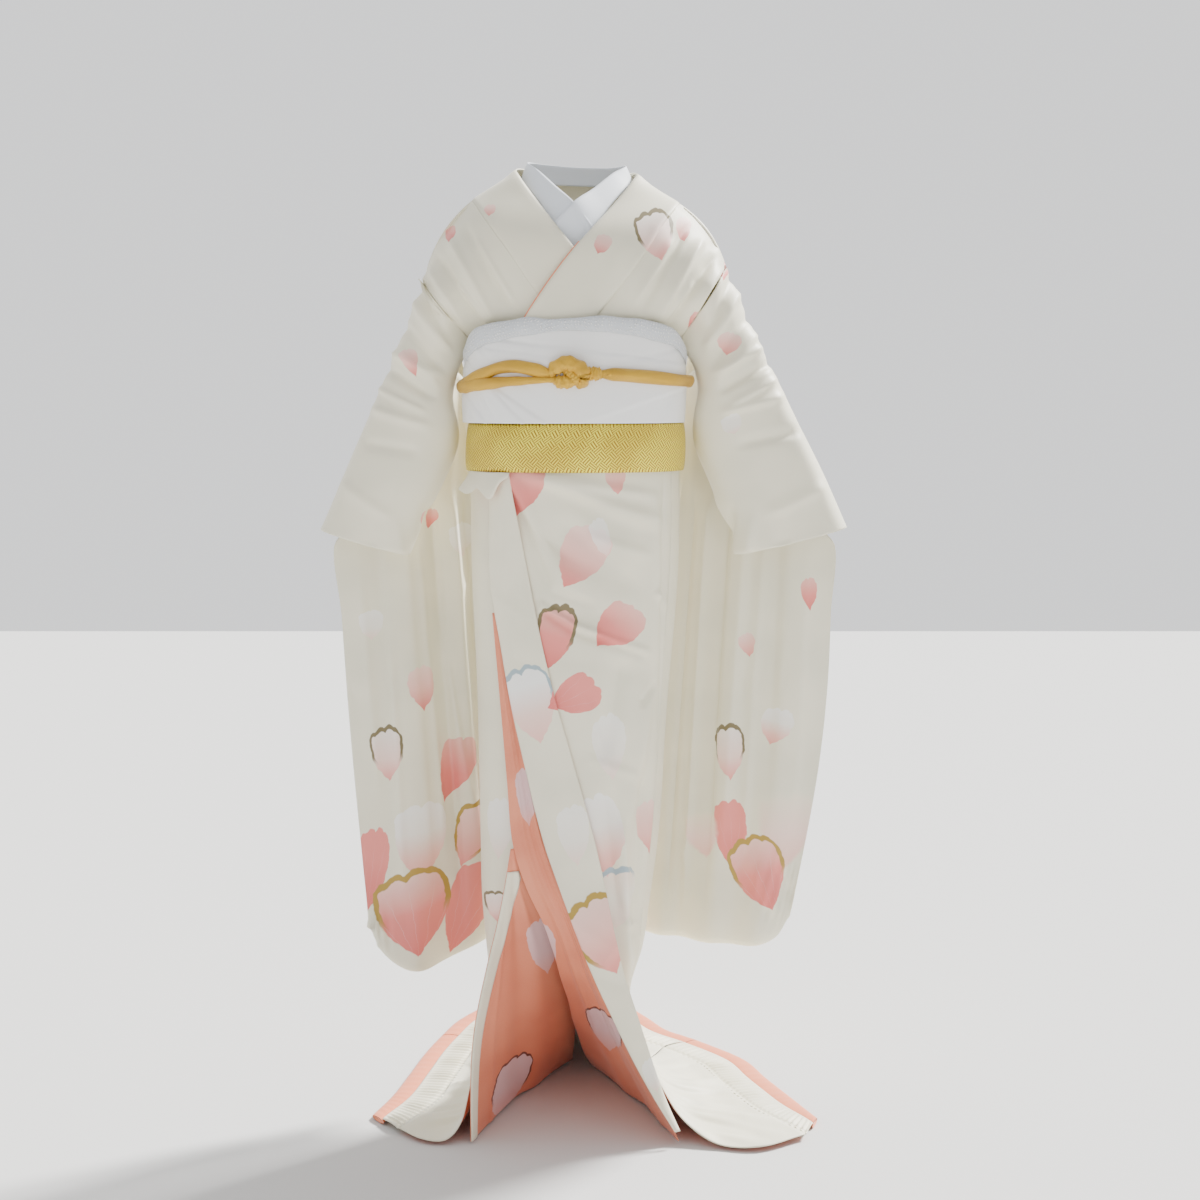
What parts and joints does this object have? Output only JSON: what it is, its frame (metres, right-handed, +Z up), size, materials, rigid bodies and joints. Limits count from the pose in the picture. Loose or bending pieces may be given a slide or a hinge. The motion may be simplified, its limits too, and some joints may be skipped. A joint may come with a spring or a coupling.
{
  "type": "bridal kimono with belt set",
  "caption": "Ivory silk bridal kimono with long hanging sleeves, petal motifs, coral lining, a trailing padded hem, white sash and gold band, in its worn shape.",
  "frame": {"origin": "between the shoulders, midway between the shoulder folds, 1.360 m above the floor the hem lies on", "axes": "+Z up, the front faces -Y, +X towards the wearer's left"},
  "size_m": [0.7709, 0.7313, 1.42],
  "materials": {
    "silk": "ivory satin crepe with printed petals",
    "lining": "coral plain silk",
    "under_collar": "white plain silk",
    "white_sash": "white satin",
    "gold_cord": "gold braided cord",
    "gold_brocade": "gold herringbone brocade"
  },
  "bodies": {
    "root": {"front_left": "silk", "front_right": "silk", "back_left": "silk", "back_right": "silk", "okumi_left": "silk", "facing_right": "silk", "okumi_right": "lining", "lining_left": "lining", "collar": "silk", "under_collar": "under_collar", "sleeve_left": "silk", "sleeve_right": "silk", "tuck_fold": "silk", "hem_gather_front_left": "silk", "hem_gather_front_right": "silk", "hem_gather_back_left": "silk", "hem_gather_back_right": "silk", "hem_roll_front_left": "lining", "hem_roll_front_right": "lining", "hem_roll_back_left": "lining", "hem_roll_back_right": "lining", "obi": "white_sash", "obiage": "white_sash", "obijime": "gold_cord", "obijime_end": "gold_cord", "obijime_knot": "gold_cord", "kakae_obi": "gold_brocade"}
  },
  "joints": []
}
